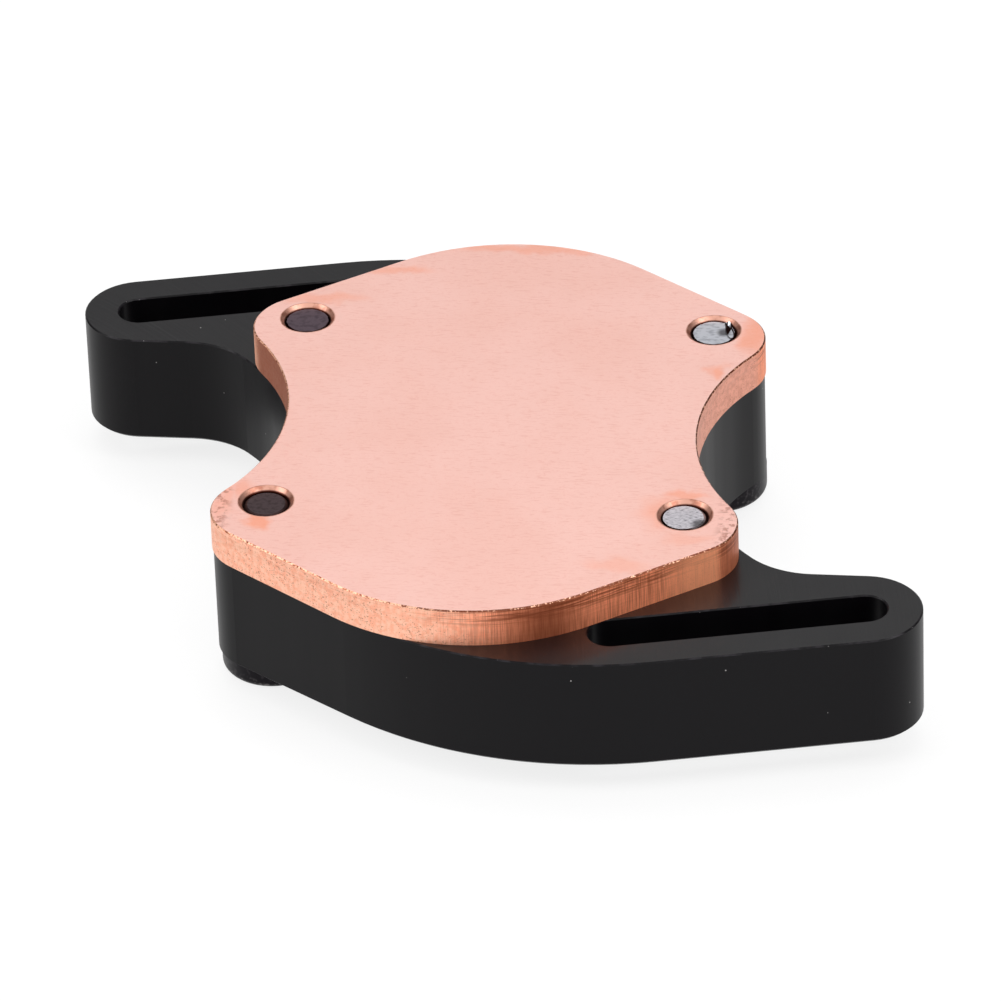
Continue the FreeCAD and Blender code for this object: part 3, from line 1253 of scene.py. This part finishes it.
@dataclass(frozen=True)
class FittedScrew:
    """One of the four screws in its hole, with its own end. Sizes are in millimetres."""

    node: str
    x: float
    y: float
    tip: TipFinish
    slot: str
    turn_deg: float
    end_share: float = 1.0
    end_shift: float = 0.0
    ragged: float = 0.0
    ragged_seed: int = 4
    sliver: Sliver | None = None
    tip_height: float = 14.05

    def work_end(self, screw: Piece) -> None:
        """Resize, shift and roughen the end face of the screw.

        Args:
            screw: Screw in its place.
        """
        middle = Vector((self.x, self.y, self.tip_height)) * MM
        wider = (self.end_share, self.end_share, 1)
        with shaping(screw, "VERT"):
            pick(screw, "verts", lambda v: v.co.z > middle.z - TINY)
            bpy.ops.transform.resize(value=wider, center_override=middle)
            bpy.ops.transform.translate(value=(self.end_shift * MM, 0, 0))
            if self.ragged:
                bpy.ops.transform.vertex_random(
                    offset=self.ragged * MM, uniform=0.0, seed=self.ragged_seed
                )
                bpy.ops.transform.resize(value=(1, 1, 0), center_override=middle)

    def fit(self, master: Piece) -> None:
        """Put a copy of the screw in its CAD solid's place, finish its end and dress it.

        Args:
            master: The screw on the part's axis.
        """
        screw = copy_of(master, self.turn_deg, self.x, self.y)
        self.work_end(screw)
        if self.sliver:
            take(screw, self.sliver.build(Vector((self.x, self.y, self.tip_height))))
            bpy.ops.object.join()
        screw.name = self.node + "_threaded"
        dress(screw, BlackOxideSteel().material(self.tip, self.x, self.y))
        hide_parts(self.node)


# ---- The cold plate ----


@dataclass(frozen=True)
class PortThreads:
    """The G1/4 thread inside each coolant port. Sizes are in millimetres."""

    slot: str = "acetal"
    port_y: float = 11.702
    turns_deg: tuple[float, float] = (30.0, 200.0)
    ridge: Ridge = Ridge(
        foot_radius=6.61, crest_radius=5.75, pitch=1.337, turns=3.0, start=3.6, fade=0.0
    )

    def build(self, finish: Material) -> None:
        """Wind one thread and put a copy in each port.

        Args:
            finish: The body's material.
        """
        master = self.ridge.wind()
        settle(master)
        for side, y, turn in zip(("near", "far"), (-self.port_y, self.port_y), self.turns_deg):
            thread = copy_of(master, turn, 0.0, y)
            thread.name = f"port_thread_{side}"
            dress(thread, finish)
        bpy.data.objects.remove(master)


@dataclass(frozen=True)
class ColdPlate:
    """The copper base, acetal body, seal and screws of the cold plate."""

    screws: tuple[FittedScrew, ...] = (
        FittedScrew(
            "screw_near_right", 15.5, -11.5, TipFinish.FILED_BRIGHT, "worn_screw", 20,
            end_shift=-0.12,
        ),
        FittedScrew(
            "screw_far_right", 15.5, 13.5, TipFinish.GROUND_GREY, "worn_screw", 140,
            end_share=1.04, ragged=0.05, sliver=Sliver(),
        ),
        FittedScrew(
            "screw_near_left", -15.5, -11.5, TipFinish.OXIDE_BLACK, "black_screw", 250,
            end_share=0.94,
        ),
        FittedScrew(
            "screw_far_left", -15.5, 13.5, TipFinish.OXIDE_PURPLE, "black_screw", 75,
            end_share=1.05, ragged=0.05,
        ),
    )

    def build(self) -> None:
        """Dress the CAD nodes and model the pieces that join or replace them."""
        acetal = MilledAcetal().material()
        dress_node("copper_base", MilledCopper().material())
        dress_node("body", acetal)
        dress_node("seal_ring", MouldedNitrile().material())
        master = PanHeadScrew().build()
        for screw in self.screws:
            screw.fit(master)
        bpy.data.objects.remove(master)
        PortThreads().build(acetal)


# ---- Studio ----


@dataclass(frozen=True)
class Lamp:
    """A soft square lamp that faces the object, in metres and watts."""

    name: str
    place: Triple
    size: float
    power: float

    def hang(self) -> None:
        """Hang the lamp."""
        bpy.ops.object.light_add(type="AREA", location=self.place)
        lamp = bpy.context.object
        lamp.name = self.name
        lamp.data.size = self.size
        lamp.data.energy = self.power
        lamp.rotation_euler = (-Vector(self.place)).to_track_quat("-Z", "Y").to_euler()


@dataclass(frozen=True)
class Studio:
    """A white table, a room that brightens upwards, and soft lamps. Lengths are in metres."""

    floor_size: float = 6.0
    floor_hex: str = "#F8F8F8"
    floor_fibre_hex: str = "#FCFCFC"
    fibre: Pattern = Pattern(0.4, 2.0)  # coarser
    floor_glow: float = 0.82
    room_ramp: Ramp = (0.5, 0.9, 0.20, 1.55)  # by how far up a direction points
    lamps: tuple[Lamp, ...] = (
        Lamp("left", (-0.75, -0.25, 0.55), 0.35, 2.2),
        Lamp("right", (0.62, -0.25, 0.70), 0.35, 1.8),
        Lamp("front", (0.55, -0.72, 0.20), 0.40, 1.9),
        Lamp("above", (-0.05, 0.40, 0.95), 0.60, 2.2),
    )

    def floor(self) -> None:
        """Lay the floor: matt paper that keeps the object's shadow."""
        bpy.ops.mesh.primitive_plane_add(size=self.floor_size)
        paper = bpy.context.object
        paper.name = "floor"
        surface = Surface("paper_white")
        add = surface.add
        seen = add("LightPath").node.outputs
        rays = [seen[f"Is {kind} Ray"] for kind in ("Glossy", "Transmission", "Camera")]
        direct = reduce(partial(add, "Math", operation="MAXIMUM"), rays)
        share = add("Math", direct, self.floor_glow, **TIMES)
        fibre = self.fibre.noise(surface)
        shade = surface.layered(self.floor_hex, (fibre, self.floor_fibre_hex))
        glow = add("Emission", WHITE, 1.0)
        lit = add("MixShader", share, add("BsdfDiffuse", shade), glow)
        under = add("NewGeometry").node.outputs["Backfacing"]
        add("OutputMaterial", add("MixShader", under, lit, add("BsdfTransparent")))
        paper.data.materials.append(surface.material)

    def room(self) -> None:
        """Light the room from above, and let the camera see it white."""
        world = bpy.data.worlds.new("white_room")
        world.use_nodes = True
        bpy.context.scene.world = world
        world.node_tree.nodes.clear()
        add = partial(add_node, world.node_tree)
        seen = add("LightPath").node.outputs["Is Camera Ray"]
        height = add("SeparateXYZ", add("TexCoord")).node.outputs["Z"]
        rising = add("MapRange", height, *self.room_ramp, **EASED)
        add("OutputWorld", add("Background", WHITE, add("Mix", seen, rising, 1.0)))

    def build(self) -> None:
        """Set up the floor, the room and the lamps."""
        self.floor()
        self.room()
        for lamp in self.lamps:
            lamp.hang()
        LOG.info("studio: floor, room and %d lamps", len(self.lamps))


@dataclass(frozen=True)
class Viewpoint:
    """A long-lens camera. Places are in metres."""

    place: Triple = (0.069355, -0.545751, 0.376629)
    aim: Triple = (0.000449, 0.000125, 0.00715)
    roll_deg: float = -2.114
    lens_mm: float = 317.5
    sensor_mm: float = 36.0
    nearest: float = 0.01

    def build(self) -> None:
        """Set up the camera, rolled a little about its line of sight."""
        bpy.ops.object.camera_add(location=self.place)
        camera = bpy.context.object
        camera.data.sensor_width = self.sensor_mm
        camera.data.lens = self.lens_mm
        camera.data.clip_start = self.nearest
        ahead = Vector(self.aim) - Vector(self.place)
        facing = ahead.to_track_quat("-Z", "Y").to_matrix()
        rolled = facing @ Matrix.Rotation(math.radians(self.roll_deg), 3, "Z")
        camera.rotation_euler = rolled.to_euler()
        bpy.context.scene.camera = camera
        LOG.info("camera: %.1f mm lens", self.lens_mm)


def main() -> None:
    """Build the cold plate, its studio and its camera."""
    logging.basicConfig(level=logging.INFO, format="%(message)s")
    bpy.context.scene.view_settings.view_transform = "Standard"
    let_go()
    ColdPlate().build()
    Studio().build()
    Viewpoint().build()


if __name__ == "__main__":
    main()
